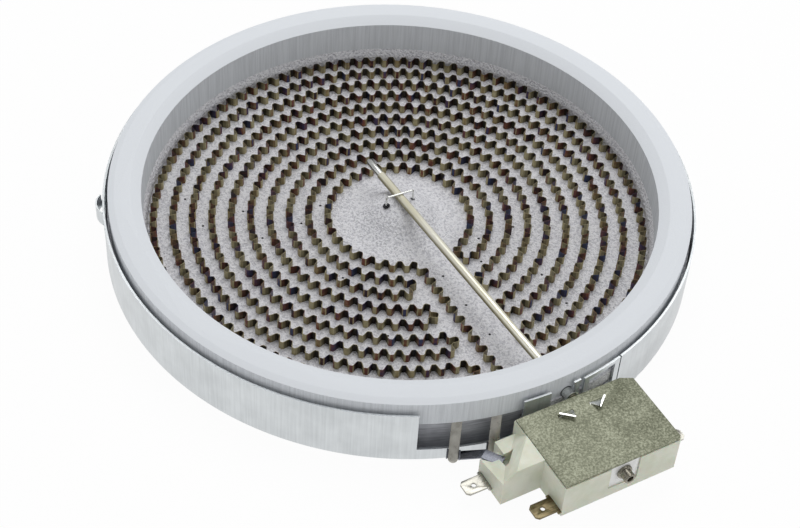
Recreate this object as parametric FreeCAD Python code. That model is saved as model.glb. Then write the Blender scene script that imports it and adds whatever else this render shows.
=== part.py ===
import FreeCAD, Part
import math
import os
from FreeCAD import Vector

# Radiant surface element: a pressed tray with a dished insulation base, a milled
# insulating ring, a corrugated ribbon heater and a rod limiter at the tray's wall.
# Millimetres, origin at the centre of the tray's underside, Z up.
# The limiter stands on the -Y side, its long sides along X.

# Pressed tray
tray_radius = 115.0
tray_height = 24.4
sheet = 0.8
corner_radius = 1.8
bead_radius = 62.0
bead_width = 9.0
bead_rise = 1.2

# Openings in the tray's wall, as azimuths in degrees, and their lower edges
terminal_opening = (-115.6, -96.8)
terminal_sill = 6.5
neck_opening = (-91.5, -84.4)
neck_sill = 12.0
window_azimuths = (-83.2, -77.0)
window_heights = (13.0, 22.8)
slit_azimuth = -75.6
slit_width = 0.6
tee_azimuth = -86.0
tee_head = (2.9, 1.6)
tee_stem = 1.6
tee_top = 25.0

# Bowed tongues lanced from the wall
tongue_azimuths = (162.0, 42.0)
tongue_span = 12.5
tongue_bow = 3.9
tongue_heights = (9.5, 19.5)
tongue_step = 2.2

# Insulation base
base_clearance = 0.6
floor_height = 7.4
ledge_height = 13.8
rim_height = 17.8
cavity_foot_radius = 98.9
cavity_foot_round = 1.0
mound_radius = 24.0
mound_height = 10.2
recess_radius = 109.0

# Insulating ring
ring_inner_radius = 100.2
ring_outer_radius = 112.8
ring_skirt_width = 4.5
ring_top = 29.0
ring_inner_chamfer = (4.0, 2.4)
ring_outer_chamfer = (2.4, 0.9)

# Corrugated heating ribbon
row_count = 10
row_first_radius = 28.3
row_pitch = 7.58
wave_length = 5.5
wave_depth = 2.8
ribbon_height = 3.7
ribbon_thickness = 0.3
right_turn_x = 13.8
left_turn_x = 17.6
lead_x = -6.5
lead_bend_radius = 7.0
ribbon_end_gap = 0.1
path_step = 0.4

# Terminal strips that lead the ribbon's ends out through the wall
terminal_width = 3.7
terminal_thickness = 0.5
left_terminal_azimuth = -108.4
right_terminal_azimuth = -100.9
terminal_exit_radius = 111.0
terminal_heading = -125.0
left_terminal_inside = 15.2
right_terminal_inside = 20.0
terminal_reach = 7.9
terminal_head_height = 5.4
slot_clearance = 0.3

# Steel strip at the back of the terminal recess
shield_thickness = 0.5

# Sensor rod, laid across the centre at a small turn from Y
rod_turn = 2.5
rod_axis_height = 19.2
rod_radius = 1.7
rod_bore_radius = 0.9
core_radius = 0.7
rod_far_end = 14.8
cap_length = 8.7
cap_radius = 1.45
cap_nose = 1.2
cap_nose_radius = 0.8
rod_trough_clearance = 0.05
neck_radius = 2.1
neck_flare_radius = 3.0
neck_length = 6.8
neck_flare_length = 1.6

# Wire staple over the rod
staple_wire = 0.8
staple_half_width = 5.75
staple_turn = -3.0
staple_centre = (-0.25, 0.0)
staple_leg_foot = 10.0
staple_corner_radius = 0.8
staple_hole_radius = 0.95

# Limiter body, a pressed ceramic block
body_x = (-19.0, 29.3)
body_y = (-149.9, -116.8)
body_z = (5.2, 20.0)
body_corner = (4.4, 2.2)
body_edge_round = 0.8
body_wall = 4.2
cavity_floor = 6.9

# Arm on the body's left side
arm_x = -35.0
arm_y = (-136.4, -118.4)
arm_back_y = -121.4
arm_back_height = 13.0
arm_left_height = 16.3
arm_step_x = -27.4
arm_step_front = -124.4
arm_step_height = 15.0
gusset_back = (-19.5, -125.4)
gusset_left = (-30.2, -136.4)
pocket_x = (-29.4, -22.4)
pocket_y = (-129.2, -124.4)
pocket_floor = 10.6

# Cover plate
cover_thickness = 0.8
cover_margin = 0.3
cover_small_corner = 1.2

# Bracket under the body with two lugs twisted over the cover
bracket_thickness = 0.8
bracket_x = (-14.0, 25.0)
bracket_y = (-146.0, -116.8)
bracket_flange_height = 9.7
lug_centres = (-1.5, 11.6)
lug_y = -122.4
lug_width = 5.8
lug_thickness = 0.7
lug_rise = 1.7
lug_twist = 40.0
lug_slot_clearance = 0.25
hook_centres = (-1.5, 13.5)
hook_width = 4.0
hook_length = 4.0
hook_height = 8.9

# Quick-connect tabs
tab_width = 6.3
tab_thickness = 0.8
tab_length = 9.2
tab_chamfer = 1.1
tab_hole_radius = 0.85
tab_hole_from_end = 4.2
tab_shoulder_width = 8.3
tab_shoulder_length = 1.3
tab_riser_width = 3.0
tab_left_y = -126.6
tab_front_y = -145.8
tab_signal_y = -142.5
tab_signal_width = 4.8
tab_signal_length = 6.4
tab_signal_height = 11.1

# Front plate and hollow adjusting bush
plate_x = (-0.4, 11.6)
plate_z = (9.3, 20.0)
plate_thickness = 0.6
plate_recess = 0.5
bush_height = 15.5
bush_radius = 2.1
bush_bore_radius = 1.25
bush_reach = 4.0
bush_tail = 7.0
collar_radius = 2.9
collar_thickness = 0.9

# Switch gear inside the body
blade_y = -127.0
blade_thickness = 0.4
blade_x = (-13.0, 13.0)
blade_z = (15.0, 19.6)
post_width = 2.2
post_depth = 2.6
contact_radius = 1.4
contact_height = 1.0
contact_x = 11.0
signal_gap = 3.4
pin_length = 2.0
pin_radius = 0.7

# Straps from the terminals to the limiter
strap_thickness = 0.5
strap_width = 3.0
left_strap_width = 4.2
left_strap_end = (-28.6, -126.2)
left_strap_rise = 11.0
left_strap_height = 13.4
right_strap_end = (-11.6, -123.4)
right_strap_rise = 4.0
right_strap_height = 9.0

# Values worked out from the above
ring_skirt_radius = ring_inner_radius + ring_skirt_width
tray_inner_radius = tray_radius - sheet
base_radius = tray_inner_radius - base_clearance
row_last_radius = row_first_radius + (row_count - 1) * row_pitch
terminal_slot_floor = rim_height - 1.4
terminal_top = terminal_slot_floor + terminal_thickness / 2
terminal_places = ((left_terminal_azimuth, left_terminal_inside), (right_terminal_azimuth, right_terminal_inside))
shield_radius = recess_radius + shield_thickness
rod_near_end = body_y[1] + neck_flare_radius * math.sin(math.radians(rod_turn))
rod_x_at_body = -body_y[1] * math.tan(math.radians(rod_turn))
cover_z = (body_z[1], body_z[1] + cover_thickness)
flange_y = (body_y[1], body_y[1] + 0.6)
arm_front_height = body_z[1] + cover_thickness - 0.2


def block(x, y, z):
    """Block between three ranges."""
    return Part.makeBox(x[1] - x[0], y[1] - y[0], z[1] - z[0], Vector(x[0], y[0], z[0]))


def span(centre, width):
    """Range of a width about a centre."""
    return (centre - width / 2, centre + width / 2)


def polar(radius, azimuth, z=0.0):
    """Point at a radius and an azimuth in degrees."""
    a = math.radians(azimuth)
    return Vector(radius * math.cos(a), radius * math.sin(a), z)


def bar(radius, start, end):
    """Round bar between two points."""
    axis = end - start
    return Part.makeCylinder(radius, axis.Length, start, axis)


def sector(radii, z, azimuths):
    """Piece of a ring between two azimuths."""
    turn = azimuths[1] - azimuths[0]
    outer = Part.makeCylinder(radii[1], z[1] - z[0], Vector(0, 0, z[0]), Vector(0, 0, 1), turn)
    inner = Part.makeCylinder(radii[0], z[1] - z[0] + 2, Vector(0, 0, z[0] - 1))
    piece = outer.cut(inner)
    piece.rotate(Vector(0, 0, 0), Vector(0, 0, 1), azimuths[0])
    return piece


def turned(edges):
    """Solid of revolution about Z from the edges of a section."""
    face = Part.Face(Part.Wire(edges))
    return face.revolve(Vector(0, 0, 0), Vector(0, 0, 1), 360)


def line(a, b):
    """Straight edge between two (radius, height) points."""
    return Part.makeLine(Vector(a[0], 0, a[1]), Vector(b[0], 0, b[1]))


def arc(a, middle, b):
    """Arc through three (radius, height) points."""
    points = [Vector(p[0], 0, p[1]) for p in (a, middle, b)]
    return Part.Arc(*points).toShape()


def corner_arc(centre, radius, start, end):
    """Arc of a section between two angles in degrees."""
    at = [math.radians(v) for v in (start, (start + end) / 2, end)]
    return arc(*[(centre[0] + radius * math.cos(v), centre[1] + radius * math.sin(v)) for v in at])


def polygon_prism(points, z):
    """Upright prism on a plan outline."""
    loop = [Vector(p[0], p[1], z[0]) for p in points]
    return Part.Face(Part.makePolygon(loop + loop[:1])).extrude(Vector(0, 0, z[1] - z[0]))


def offset_line(points, distance):
    """Open line moved sideways, with mitred corners."""
    result = []
    for i, p in enumerate(points):
        before = points[max(i - 1, 0)]
        after = points[min(i + 1, len(points) - 1)]
        normals = []
        for a, b in ((before, p), (p, after)):
            dx, dy = b[0] - a[0], b[1] - a[1]
            length = math.hypot(dx, dy)
            if length > 0:
                normals.append((-dy / length, dx / length))
        nx = sum(n[0] for n in normals) / len(normals)
        ny = sum(n[1] for n in normals) / len(normals)
        scale = distance / (nx * nx + ny * ny)
        result.append((p[0] + nx * scale, p[1] + ny * scale))
    return result


def thick_line(points, thickness):
    """Outline of a line that has been given a thickness."""
    return offset_line(points, thickness / 2) + offset_line(points, -thickness / 2)[::-1]


def bent_strip(path, thickness, width, start, azimuth):
    """Strip bent in an upright plane: path of (run, height), placed at a plan point."""
    loop = [Vector(s, -width / 2, z) for s, z in thick_line(path, thickness)]
    strip = Part.Face(Part.makePolygon(loop + loop[:1])).extrude(Vector(0, width, 0))
    strip.rotate(Vector(0, 0, 0), Vector(0, 0, 1), azimuth)
    strip.translate(Vector(start[0], start[1], 0))
    return strip


def fused(pieces):
    """One clean solid from pieces that touch or overlap."""
    whole = pieces[0]
    for piece in pieces[1:]:
        whole = whole.fuse(piece)
    return whole.removeSplitter()


def along_rod(run, across=0.0, z=rod_axis_height):
    """Point at a run from the centre along the rod, towards its free end."""
    a = math.radians(90 + rod_turn)
    c, s = math.cos(a), math.sin(a)
    return Vector(run * c + across * s, run * s - across * c, z)


def make_tray():
    """Pressed tray with a stiffening bead, wall openings, slits and tongues."""
    r, h, t, rc = tray_radius, tray_height, sheet, corner_radius
    inner = bead_radius - bead_width / 2
    outer = bead_radius + bead_width / 2
    slope = bead_rise
    low = [(0, 0), (inner, 0), (inner + slope, bead_rise), (outer - slope, bead_rise), (outer, 0), (r - rc, 0)]
    high = [(r - rc, t), (outer, t), (outer - slope, t + bead_rise), (inner + slope, t + bead_rise), (inner, t), (0, t)]
    edges = [line(a, b) for a, b in zip(low, low[1:])]
    edges += [corner_arc((r - rc, rc), rc, -90, 0), line((r, rc), (r, h)), line((r, h), (r - t, h))]
    edges += [line((r - t, h), (r - t, rc)), corner_arc((r - rc, rc), rc - t, 0, -90)]
    edges += [line(a, b) for a, b in zip(high, high[1:])] + [line(high[-1], low[0])]
    tray = turned(edges)
    wall = (tray_inner_radius - 0.5, tray_radius + 0.5)
    top = tray_height + 1
    tray = tray.cut(sector(wall, (terminal_sill, top), terminal_opening))
    tray = tray.cut(sector(wall, (neck_sill, top), neck_opening))
    tray = tray.fuse(wall_piece(tee_azimuth, tee_stem, (neck_sill - 1, tee_top)))
    tray = tray.fuse(wall_piece(tee_azimuth, tee_head[0], (tee_top - tee_head[1], tee_top)))
    tray = tray.cut(sector(wall, window_heights, window_azimuths))
    half_slit = math.degrees(slit_width / tray_radius / 2)
    tray = tray.cut(sector(wall, (neck_sill, top), (slit_azimuth - half_slit, slit_azimuth + half_slit)))
    for x in hook_centres:
        hook_z = (hook_height, hook_height + bracket_thickness + 0.2)
        tray = tray.cut(block(span(x, hook_width + 0.4), (-tray_radius - 1, -tray_radius + 8), hook_z))
    for azimuth in tongue_azimuths:
        half = tongue_span / 2
        gap = math.degrees(0.5 / tray_radius)
        tray = tray.cut(sector(wall, tongue_heights, (azimuth - half, azimuth + half - gap)))
        tray = tray.fuse(make_tongue(azimuth))
    return tray.removeSplitter()


def wall_piece(azimuth, width, z):
    """Piece of the tray's wall, of a width about an azimuth."""
    half = math.degrees(width / tray_radius / 2)
    return sector((tray_inner_radius, tray_radius), z, (azimuth - half, azimuth + half))


def make_tongue(azimuth):
    """Tongue bowed outwards from the wall, joined at one end and free at the other."""
    half = tongue_span / 2
    z0, z1 = tongue_heights
    root = azimuth + half
    outer = [polar(tray_radius, root, z0), polar(tray_radius + tongue_bow, azimuth, z0), polar(tray_radius + 0.2, azimuth - half + 0.8, z0)]
    inner = [polar(tray_inner_radius, root, z0), polar(tray_inner_radius + tongue_bow, azimuth, z0), polar(tray_inner_radius + 0.2, azimuth - half + 0.8, z0)]
    edges = [Part.Arc(*outer).toShape(), Part.makeLine(outer[2], inner[2])]
    edges += [Part.Arc(*inner[::-1]).toShape(), Part.makeLine(inner[0], outer[0])]
    tongue = Part.Face(Part.Wire(edges)).extrude(Vector(0, 0, z1 - z0))
    step = sector((tray_inner_radius - 1, tray_radius + tongue_bow + 1), ((z0 + z1) / 2, z1 + 1),
                  (azimuth - half - 1, azimuth - half + tongue_step))
    return tongue.cut(step)


def make_base():
    """Dished base: centre mound, flat floor, ledge and rim for the ring, terminal recess."""
    t, floor = sheet, floor_height
    inner = bead_radius - bead_width / 2
    outer = bead_radius + bead_width / 2
    slope = bead_rise
    half_r, half_h = mound_radius / 2, mound_height / 2
    bend = (half_r ** 2 + half_h ** 2) / (2 * half_h)
    sweep = math.degrees(math.asin(half_r / bend))
    top = floor + mound_height
    rc = cavity_foot_round
    foot = cavity_foot_radius
    edges = [line((0, t), (0, top)), corner_arc((0, top - bend), bend, 90, 90 - sweep)]
    edges += [corner_arc((mound_radius, floor + bend), bend, 270 - sweep, 270)]
    edges += [line((mound_radius, floor), (foot - rc, floor)), corner_arc((foot - rc, floor + rc), rc, -90, 0)]
    corners = [(foot, floor + rc), (ring_inner_radius, ledge_height), (ring_skirt_radius, ledge_height),
               (ring_skirt_radius, rim_height), (base_radius, rim_height), (base_radius, t + corner_radius),
               (base_radius - corner_radius, t), (outer, t), (outer - slope, t + bead_rise),
               (inner + slope, t + bead_rise), (inner, t), (0, t)]
    edges += [line(a, b) for a, b in zip(corners, corners[1:])]
    base = turned(edges)
    wider = (terminal_opening[0] - 1.5, terminal_opening[1] + 1.5)
    base = base.cut(sector((recess_radius, base_radius + 1), (0, rim_height + 1), wider))
    base = base.cut(bar(rod_radius + rod_trough_clearance, along_rod(-mound_radius), along_rod(mound_radius)))
    for x, y in staple_feet():
        base = base.cut(bar(staple_hole_radius, Vector(x, y, staple_leg_foot - 0.5), Vector(x, y, top + 1)))
    for azimuth, inside in terminal_places:
        base = base.cut(terminal_slot(azimuth, inside))
    base = base.cut(rod_slot()[0])
    hook_room = block((bracket_x[0], bracket_x[1]), (-tray_radius, -tray_radius + 8), (hook_height - 0.5, hook_height + bracket_thickness + 0.5))
    return base.cut(hook_room)


def at_terminal(shape, azimuth):
    """Shape laid out along +X from the wall, put where a terminal leaves the ring."""
    shape.rotate(Vector(0, 0, 0), Vector(0, 0, 1), terminal_heading)
    shape.translate(polar(terminal_exit_radius, azimuth))
    return shape


def terminal_slot(azimuth, inside):
    """Slot that a terminal strip lies in, between the base and the ring."""
    width = terminal_width + 2 * slot_clearance
    return at_terminal(block((-inside, terminal_reach), span(0, width), (terminal_slot_floor, rim_height)), azimuth)


def rod_slot():
    """Room for the rod and its neck between the base and the ring."""
    width = rod_radius + slot_clearance
    room = bar(width, along_rod(2 * width - ring_inner_radius), along_rod(-tray_radius))
    wide = neck_radius + slot_clearance
    room = room.fuse(bar(wide, along_rod(body_y[1] + neck_length + slot_clearance), along_rod(-tray_radius)))
    below = block((-width, width), (-ring_skirt_radius, -ring_inner_radius + 2), (ledge_height - 1, rod_axis_height))
    below.rotate(Vector(0, 0, 0), Vector(0, 0, 1), rod_turn)
    return room, below


def make_ring():
    """Milled ring: chamfered inner and outer top edges and a skirt that centres it in the base."""
    ic, oc = ring_inner_chamfer, ring_outer_chamfer
    corners = [(ring_inner_radius, ledge_height), (ring_skirt_radius, ledge_height), (ring_skirt_radius, rim_height),
               (ring_outer_radius, rim_height), (ring_outer_radius, ring_top - oc[1]),
               (ring_outer_radius - oc[0], ring_top), (ring_inner_radius + ic[0], ring_top),
               (ring_inner_radius, ring_top - ic[1]), (ring_inner_radius, ledge_height)]
    ring = turned([line(a, b) for a, b in zip(corners, corners[1:])])
    for azimuth, inside in terminal_places:
        ring = ring.cut(terminal_slot(azimuth, inside))
    for room in rod_slot():
        ring = ring.cut(room)
    return ring


def arc_points(centre, radius, start, end):
    """Points along an arc from one angle to another, in degrees."""
    length = radius * math.radians(abs(end - start))
    count = max(2, int(length / path_step))
    angles = [math.radians(start + (end - start) * i / count) for i in range(count + 1)]
    return [(centre[0] + radius * math.cos(a), centre[1] + radius * math.sin(a)) for a in angles]


def ribbon_path():
    """Middle line of the ribbon: lead, ten rows joined by turns, and the far end."""
    bend = lead_bend_radius
    beside = polar(terminal_width / 2 + ribbon_thickness + ribbon_end_gap, terminal_heading + 90)
    plates = [polar(terminal_exit_radius, azimuth) - polar(inside, terminal_heading) for azimuth, inside in terminal_places]
    left_end, right_end = plates[0] - beside, plates[1] + beside
    far_angle = math.degrees(math.atan2(left_end.y, left_end.x))
    points = [(right_end.x, right_end.y), (lead_x, right_end.y + lead_x - right_end.x)]
    centre_x = lead_x - bend
    first = row_first_radius
    high = (centre_x, -math.sqrt((first + bend) ** 2 - centre_x ** 2))
    high_angle = math.degrees(math.atan2(high[1], high[0]))
    points += arc_points(high, bend, 0, high_angle + 180)
    start = high_angle + 360
    for row in range(row_count):
        radius = first + row * row_pitch
        middle = radius + row_pitch / 2
        last = row == row_count - 1
        if row % 2 == 0:
            end = math.degrees(math.asin(right_turn_x / middle)) - 90
            points += arc_points((0, 0), radius, start, end)
            turn = (end + 180, end + 360)
        else:
            end = 270 - math.degrees(math.asin(left_turn_x / middle))
            if last:
                end = 360 + far_angle
            points += arc_points((0, 0), radius, start, end)
            turn = (end + 180, end)
        if not last:
            hub = polar(middle, end)
            points += arc_points((hub.x, hub.y), row_pitch / 2, *turn)
        start = end
    return points


def even_points(points, spacing):
    """Points at an even spacing along a line, from its first point to its last."""
    lengths = [0.0]
    for a, b in zip(points, points[1:]):
        lengths.append(lengths[-1] + math.hypot(b[0] - a[0], b[1] - a[1]))
    count = max(1, round(lengths[-1] / spacing))
    result, i = [], 0
    for k in range(count + 1):
        target = lengths[-1] * k / count
        while i < len(points) - 2 and lengths[i + 1] < target:
            i += 1
        step = max(lengths[i + 1] - lengths[i], 1e-9)
        f = (target - lengths[i]) / step
        a, b = points[i], points[i + 1]
        result.append((a[0] + (b[0] - a[0]) * f, a[1] + (b[1] - a[1]) * f))
    return result


def make_ribbon():
    """Ribbon standing on edge on the floor, folded to and fro along its path."""
    middle = even_points(ribbon_path(), wave_length / 2)
    swing = (wave_depth - ribbon_thickness) / 2
    left, right = offset_line(middle, swing), offset_line(middle, -swing)
    folds = [left[i] if i % 2 else right[i] for i in range(len(middle))]
    folds[0], folds[-1] = middle[0], middle[-1]
    return polygon_prism(thick_line(folds, ribbon_thickness), (floor_height, floor_height + ribbon_height))


def on_slope(shape):
    """Shape laid flat at the origin, put on the sloping end of a terminal."""
    drop = math.degrees(math.atan2(terminal_top - terminal_head_height, terminal_reach))
    shape.rotate(Vector(0, 0, 0), Vector(0, 1, 0), drop)
    shape.translate(Vector(terminal_reach, 0, terminal_head_height))
    return shape


def make_terminal(azimuth, inside):
    """Strip from the ribbon's end up over the base's rim, then down the recess to a round head."""
    t = terminal_thickness
    path = [(-inside, floor_height), (-inside, terminal_top), (0, terminal_top), (terminal_reach, terminal_head_height)]
    strip = bent_strip(path, t, terminal_width, (0, 0), 0)
    head = on_slope(Part.makeCylinder(terminal_width / 2, t, Vector(0, 0, -t / 2)))
    return at_terminal(fused([strip, head]), azimuth)


def make_shield():
    """Curved steel strip against the cut-back face of the base."""
    z = (sheet, terminal_slot_floor)
    azimuths = (terminal_opening[0] - 1.0, terminal_opening[1] + 1.0)
    return sector((recess_radius, shield_radius), z, azimuths)


def make_clamp(azimuth):
    """Strap end behind a terminal's head, with both ends curled round the head."""
    t, h = strap_thickness, terminal_thickness / 2
    half = terminal_width / 2 + 0.1
    length = (-strap_width, 0.4)
    pieces = [block(length, (-half - t, half + t), (-h - t, -h))]
    for side in (-1, 1):
        y = sorted((side * half, side * (half + t)))
        pieces.append(block(length, y, (-h - t, h + t)))
    return at_terminal(on_slope(fused(pieces)), azimuth)


def strap_run(azimuth, end, height, rise, thickness, width):
    """Strap from behind a terminal's head to a plan point, level at a height after its rise."""
    start = polar(terminal_exit_radius, azimuth) + polar(terminal_reach - 0.8, terminal_heading)
    dx, dy = end[0] - start.x, end[1] - start.y
    length, heading = math.hypot(dx, dy), math.degrees(math.atan2(dy, dx))
    low = terminal_head_height
    path = [(0, low), (rise, height), (length, height)]
    return bent_strip(path, thickness, width, (start.x, start.y), heading)


def make_left_strap():
    """Strap from the left head up over the arm's wall into its pocket."""
    run = strap_run(left_terminal_azimuth, left_strap_end, left_strap_height, left_strap_rise, strap_thickness, left_strap_width)
    return strap_clear(run, make_clamp(left_terminal_azimuth), left_terminal_azimuth, left_terminal_inside)


def make_right_strap():
    """Strap from the right head through the body's back wall to the switch post."""
    run = strap_run(right_terminal_azimuth, right_strap_end, right_strap_height, right_strap_rise, strap_thickness, strap_width)
    return strap_clear(run, make_clamp(right_terminal_azimuth), right_terminal_azimuth, right_terminal_inside)


def strap_clear(run, clamp, azimuth, inside):
    """Strap joined to its clamp, cut clear of the terminal it holds."""
    terminal = make_terminal(azimuth, inside)
    return fused([run.cut(above_head(azimuth)), clamp]).cut(terminal)


def above_head(azimuth):
    """Space in front of a terminal's head, from the clamp outwards."""
    h = terminal_thickness / 2
    return at_terminal(on_slope(block((-8, 8), (-terminal_width / 2 - 0.6, terminal_width / 2 + 0.6), (-h, 6))), azimuth)


def make_rod_tube():
    """Outer tube of the sensor rod."""
    tube = bar(rod_radius, along_rod(rod_far_end), along_rod(rod_near_end))
    return tube.cut(bar(rod_bore_radius, along_rod(rod_far_end + 1), along_rod(rod_near_end - 1)))


def make_rod_core():
    """Inner rod that moves against the tube as they heat."""
    return bar(core_radius, along_rod(rod_far_end + cap_length / 2), along_rod(blade_y + pin_length))


def make_rod_cap():
    """Narrower closed end of the rod with a small nose."""
    sleeve = bar(cap_radius, along_rod(rod_far_end), along_rod(rod_far_end + cap_length))
    sleeve = sleeve.cut(bar(core_radius, along_rod(rod_far_end - 1), along_rod(rod_far_end + cap_length / 2)))
    nose = bar(cap_nose_radius, along_rod(rod_far_end + cap_length - 0.1), along_rod(rod_far_end + cap_length + cap_nose))
    return fused([sleeve, nose])


def make_neck():
    """Holder that grips the tube at the body's back wall, flared towards the body."""
    far, bend, near = [along_rod(rod_near_end + run) for run in (neck_length, neck_flare_length, 0)]
    holder = Part.makeCone(neck_radius, neck_flare_radius, neck_flare_length, bend, near - bend)
    holder = fused([bar(neck_radius, far, bend), holder])
    return holder.cut(bar(rod_radius, along_rod(rod_near_end + neck_length + 1), along_rod(rod_near_end - 1)))


def staple_feet():
    """Plan points of the staple's two legs."""
    a = math.radians(staple_turn)
    dx, dy = staple_half_width * math.cos(a), staple_half_width * math.sin(a)
    x, y = staple_centre
    return [(x - dx, y - dy), (x + dx, y + dy)]


def make_staple():
    """Wire staple bent over the rod, its legs in the mound."""
    r = staple_wire / 2
    top = rod_axis_height + rod_radius + r
    bend = staple_corner_radius
    (x0, y0), (x1, y1) = staple_feet()
    along = Vector(x1 - x0, y1 - y0, 0).normalize()
    up = Vector(0, 0, 1)
    feet = [Vector(x0, y0, staple_leg_foot), Vector(x1, y1, staple_leg_foot)]
    shoulders = [Vector(x0, y0, top - bend), Vector(x1, y1, top - bend)]
    ends = [Vector(x0, y0, top) + along * bend, Vector(x1, y1, top) - along * bend]
    cut = bend * (1 - math.sqrt(0.5))
    middles = [Vector(x0, y0, top) + along * cut - up * cut, Vector(x1, y1, top) - along * cut - up * cut]
    path = Part.Wire([Part.makeLine(feet[0], shoulders[0]), Part.Arc(shoulders[0], middles[0], ends[0]).toShape(),
                      Part.makeLine(ends[0], ends[1]), Part.Arc(ends[1], middles[1], shoulders[1]).toShape(),
                      Part.makeLine(shoulders[1], feet[1])])
    ring = Part.Wire(Part.makeCircle(r, feet[0], up))
    return path.makePipeShell([ring], True, False)


def body_outline(margin=0.0):
    """Plan outline of the body's block, drawn in by a margin."""
    x0, x1 = body_x[0] + margin, body_x[1] - margin
    y0, y1 = body_y[0] + margin, body_y[1] - margin
    cx, cy = body_corner
    s = cover_small_corner
    return [(x0, y0), (x1 - s, y0), (x1, y0 + s), (x1, y1 - cy), (x1 - cx, y1), (x0, y1)]


def make_arm():
    """Arm on the body's left: a rising side wall, a step at the back and a sloped gusset in front."""
    right = body_x[0] + 1
    low, top = body_z[0], arm_front_height
    side = [Vector(arm_x, arm_y[0], low), Vector(arm_x, arm_y[0], arm_left_height),
            Vector(arm_x, arm_back_y, arm_back_height), Vector(arm_x, arm_back_y, low)]
    wall = Part.Face(Part.makePolygon(side + side[:1])).extrude(Vector(right - arm_x, 0, 0))
    step = block((arm_step_x, right), (arm_step_front, arm_y[1]), (low, arm_step_height))
    a, b = Vector(gusset_back[0], gusset_back[1], top), Vector(gusset_left[0], gusset_left[1], top)
    corner = Vector(arm_x, arm_y[0], arm_left_height)
    edge = (b - a).normalize()
    down = (corner - b) - edge * (corner - b).dot(edge)
    down = down * ((top - low) / -down.z)
    a, b = a - edge * 20, b + edge * 20
    back = Vector(-down.x, -down.y, 0) * 3
    slope = [a, a + down, a + back - Vector(0, 0, top - low), a + back]
    gusset = Part.Face(Part.makePolygon(slope + slope[:1])).extrude(b - a)
    gusset = gusset.common(block((arm_x, body_x[0] + cover_margin / 2), arm_y, (low, top)))
    return fused([wall, step, gusset])


def make_body():
    """Ceramic block open at the top, with the stepped arm on its left side."""
    block_part = polygon_prism(body_outline(), body_z)
    body = fused([block_part, make_arm()])
    wall = body_wall
    inside = ((body_x[0] + wall, body_x[1] - wall), (body_y[0] + wall, body_y[1] - wall))
    body = body.cut(block(inside[0], inside[1], (cavity_floor, body_z[1] + 1)))
    body = body.cut(block(pocket_x, pocket_y, (pocket_floor, arm_step_height + 1)))
    rod_x = rod_x_at_body
    rod_room = block(span(rod_x, 2 * rod_radius + 0.6), (body_y[1] - wall - 1, body_y[1] + 1),
                     (rod_axis_height - rod_radius - 0.2, body_z[1] + 1))
    body = body.cut(rod_room)
    front = block((plate_x[0], plate_x[1]), (body_y[0] - 1, body_y[0] + plate_recess + plate_thickness), (plate_z[0], plate_z[1] + 1))
    body = body.cut(front)
    x = (plate_x[0] + plate_x[1]) / 2
    body = body.cut(bar(bush_radius + 0.1, Vector(x, body_y[0] - 1, bush_height), Vector(x, body_y[0] + wall + 1, bush_height)))
    for centre in lug_centres:
        slot = block(span(centre, lug_width + 2 * lug_slot_clearance), span(lug_y, lug_thickness + 2 * lug_slot_clearance),
                     (body_z[0] - 1, body_z[1] + 1))
        body = body.cut(slot)
    for room in tab_rooms():
        body = body.cut(room)
    return body


def tab_rooms():
    """Slots in the ceramic for the three tabs and the two straps."""
    c = 0.1
    t = cavity_floor
    left = block((arm_x - 1, pocket_x[0] + tab_thickness + c), span(tab_left_y, tab_width + 2 * c), (t, t + tab_thickness + c))
    riser = block((pocket_x[0], pocket_x[0] + tab_thickness + c), span(tab_left_y, tab_riser_width + 2 * c),
                  (t, pocket_floor + 1))
    front = block((body_x[0] - 1, body_x[0] + body_wall + 1), span(tab_front_y, tab_width + 2 * c), (t, t + tab_thickness + c))
    z = tab_signal_height
    signal = block((body_x[1] - body_wall - 1, body_x[1] + 1), span(tab_signal_y, tab_signal_width + 2 * c),
                   (z - c, z + tab_thickness + c))
    grow = 2 * c
    straps = [strap_run(right_terminal_azimuth, right_strap_end, right_strap_height, right_strap_rise,
                        strap_thickness + grow, strap_width + grow),
              strap_run(left_terminal_azimuth, left_strap_end, left_strap_height, left_strap_rise,
                        strap_thickness + grow, left_strap_width + grow)]
    return [left, riser, front, signal] + straps


def make_cover():
    """Flat steel cover with a slot for each twisted lug."""
    cover = polygon_prism(body_outline(cover_margin), cover_z)
    for centre in lug_centres:
        slot = block(span(centre, lug_width + 2 * lug_slot_clearance), span(lug_y, lug_thickness + 2 * lug_slot_clearance),
                     (cover_z[0] - 1, cover_z[1] + 1))
        cover = cover.cut(slot)
    return cover


def twisted_tip(centre, side):
    """Tip of a lug turned about its outer end, above the cover."""
    x, y, t = lug_width / 2, lug_thickness / 2, cover_z[1]
    corners = [(-x, -y), (x, -y), (x, y), (-x, y)]
    hinge = side * x
    low = [Vector(centre + a, lug_y + b, t) for a, b in corners]
    angle = math.radians(-lug_twist * side) * -1
    c, s = math.cos(angle), math.sin(angle)
    high = []
    for a, b in corners:
        dx = a - hinge
        high.append(Vector(centre + hinge + dx * c - b * s, lug_y + dx * s + b * c, t + lug_rise))
    wires = [Part.makePolygon(loop + loop[:1]) for loop in (low, high)]
    return Part.makeLoft(wires, True, True)


def make_bracket():
    """Bracket under the body: plate, flange with hooks and a tee, and two twisted lugs."""
    z = (body_z[0] - bracket_thickness, body_z[0])
    plate = block(bracket_x, bracket_y, z)
    flange = block(bracket_x, flange_y, (z[0], bracket_flange_height))
    pieces = [plate, flange]
    for x in hook_centres:
        pieces.append(block(span(x, hook_width), (flange_y[0], flange_y[0] + hook_length + 1.0),
                            (hook_height, hook_height + bracket_thickness)))
    for centre, side in zip(lug_centres, (-1, 1)):
        pieces.append(block(span(centre, lug_width), span(lug_y, lug_thickness), (z[0], cover_z[1])))
        pieces.append(twisted_tip(centre, side))
    return fused(pieces)


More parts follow.
